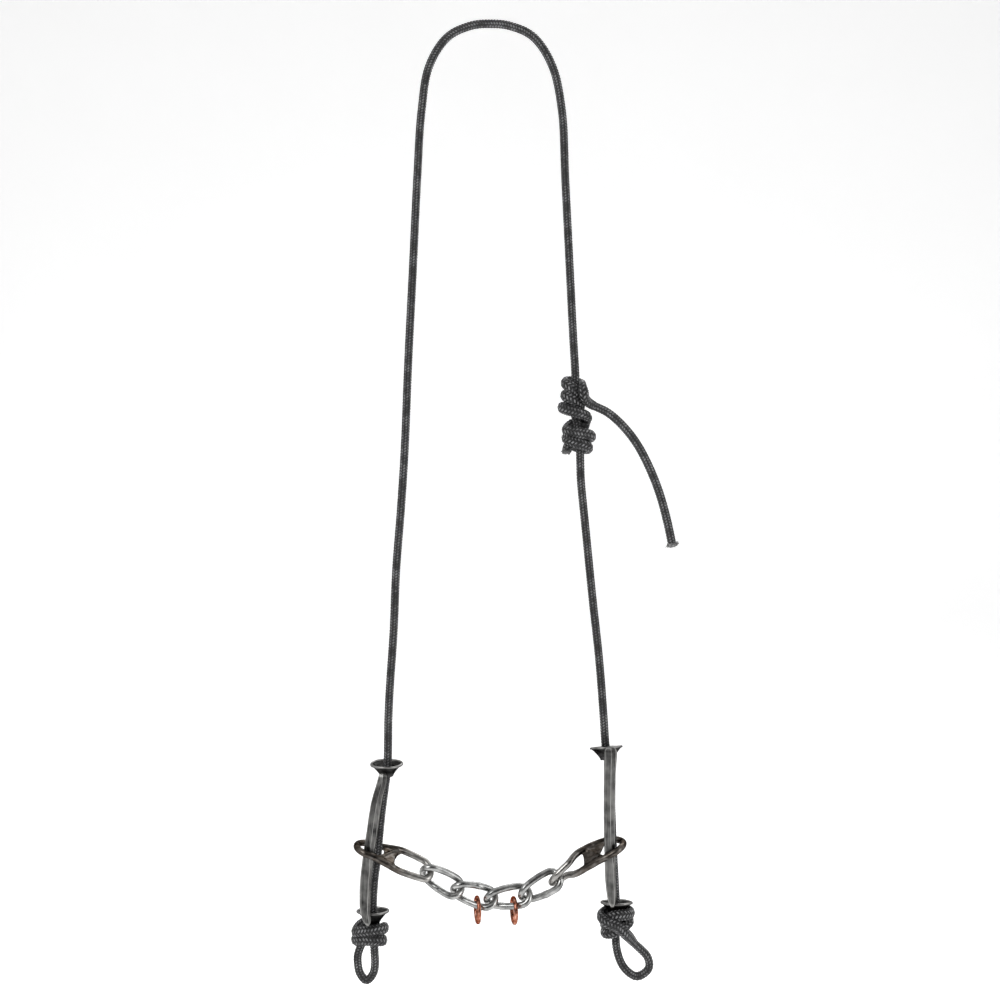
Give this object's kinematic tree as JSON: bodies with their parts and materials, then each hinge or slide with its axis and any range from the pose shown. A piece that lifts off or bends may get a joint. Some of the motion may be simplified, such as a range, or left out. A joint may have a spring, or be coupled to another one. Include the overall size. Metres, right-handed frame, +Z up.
{
  "type": "gag bit on a rope headstall",
  "caption": "Rope bridle with no noseband: a knotted braided headstall, sliding cheek bars with flared eyelets, and a twisted chain mouthpiece carrying copper rings.",
  "frame": {"origin": "underside of the rope's crown, where the headstall rests over the poll or on a peg", "axes": "+X across the mouthpiece towards the cheek with the adjuster, -Y to the front, +Z up"},
  "size_m": [0.1938, 0.028, 0.5765],
  "materials": {
    "braided_rope": "tight braided synthetic cord, satin black",
    "dark_steel": "dark antique steel, polished bright on the high edges",
    "brown_steel": "brownish heat-darkened steel with bright worn edges",
    "bright_zinc": "bright zinc plated wire",
    "copper": "bare copper, slightly dulled"
  },
  "bodies": {
    "headstall": {"crown_rope": "braided_rope", "right_rope": "braided_rope", "adjuster_tail": "braided_rope", "left_rein_loop": "braided_rope", "right_rein_loop": "braided_rope", "upper_adjuster_knot": "braided_rope", "lower_adjuster_knot": "braided_rope", "left_rein_knot": "braided_rope", "right_rein_knot": "braided_rope"},
    "left_cheek": {"left_cheek_bar": "dark_steel", "left_upper_eyelet": "dark_steel", "left_lower_eyelet": "dark_steel"},
    "right_cheek": {"right_cheek_bar": "dark_steel", "right_upper_eyelet": "dark_steel", "right_lower_eyelet": "dark_steel"},
    "left_connector": {"left_connector": "brown_steel"},
    "right_connector": {"right_connector": "brown_steel"},
    "chain_link_1": {"chain_link_1": "bright_zinc"},
    "chain_link_2": {"chain_link_2": "bright_zinc"},
    "chain_link_3": {"chain_link_3": "bright_zinc"},
    "chain_link_4": {"chain_link_4": "bright_zinc"},
    "left_copper_ring": {"left_copper_ring": "copper"},
    "right_copper_ring": {"right_copper_ring": "copper"}
  },
  "joints": [
    {"name": "left_cheek_slide", "type": "slide", "parent": "headstall", "child": "left_cheek", "axis": [0.03, 0, 0.9995], "range_m": [0, 0.015]},
    {"name": "right_cheek_slide", "type": "slide", "parent": "headstall", "child": "right_cheek", "axis": [-0.06, 0, 0.9982], "range_m": [0, 0.015]},
    {"name": "left_mouthpiece_swing", "type": "hinge", "parent": "left_cheek", "child": "left_connector", "pos_m": [-0.0793, -0.0045, -0.49], "axis": [1, 0, 0], "range_deg": [-12, 12]},
    {"name": "right_mouthpiece_swing", "type": "hinge", "parent": "right_cheek", "child": "right_connector", "pos_m": [0.0792, -0.0045, -0.49], "axis": [1, 0, 0], "range_deg": [-12, 12]},
    {"name": "chain_link_1_roll", "type": "hinge", "parent": "left_connector", "child": "chain_link_1", "pos_m": [-0.0286, -0.0045, -0.51], "axis": [0.8648, 0, -0.5021], "range_deg": [-8, 8]},
    {"name": "chain_link_2_roll", "type": "hinge", "parent": "left_connector", "child": "chain_link_2", "pos_m": [-0.00935, -0.0045, -0.5183], "axis": [0.9601, 0, -0.2798], "range_deg": [-8, 8]},
    {"name": "chain_link_3_roll", "type": "hinge", "parent": "left_connector", "child": "chain_link_3", "pos_m": [0.01085, -0.0045, -0.5199], "axis": [0.9921, 0, 0.1258], "range_deg": [-8, 8]},
    {"name": "chain_link_4_roll", "type": "hinge", "parent": "left_connector", "child": "chain_link_4", "pos_m": [0.0303, -0.0045, -0.5136], "axis": [0.8786, 0, 0.4775], "range_deg": [-8, 8]},
    {"name": "left_copper_ring_swing", "type": "hinge", "parent": "chain_link_2", "child": "left_copper_ring", "pos_m": [-0.00741, -0.0057, -0.52451], "axis": [0.9292, -0.3114, -0.1989], "range_deg": [-35, 35]},
    {"name": "right_copper_ring_swing", "type": "hinge", "parent": "chain_link_3", "child": "right_copper_ring", "pos_m": [0.01432, -0.00544, -0.52497], "axis": [0.9334, -0.3144, 0.1727], "range_deg": [-35, 35]}
  ],
  "couplings": [
    {"joint": "right_cheek_slide", "follows": "left_cheek_slide", "ratio": 1},
    {"joint": "right_mouthpiece_swing", "follows": "left_mouthpiece_swing", "ratio": 1}
  ]
}
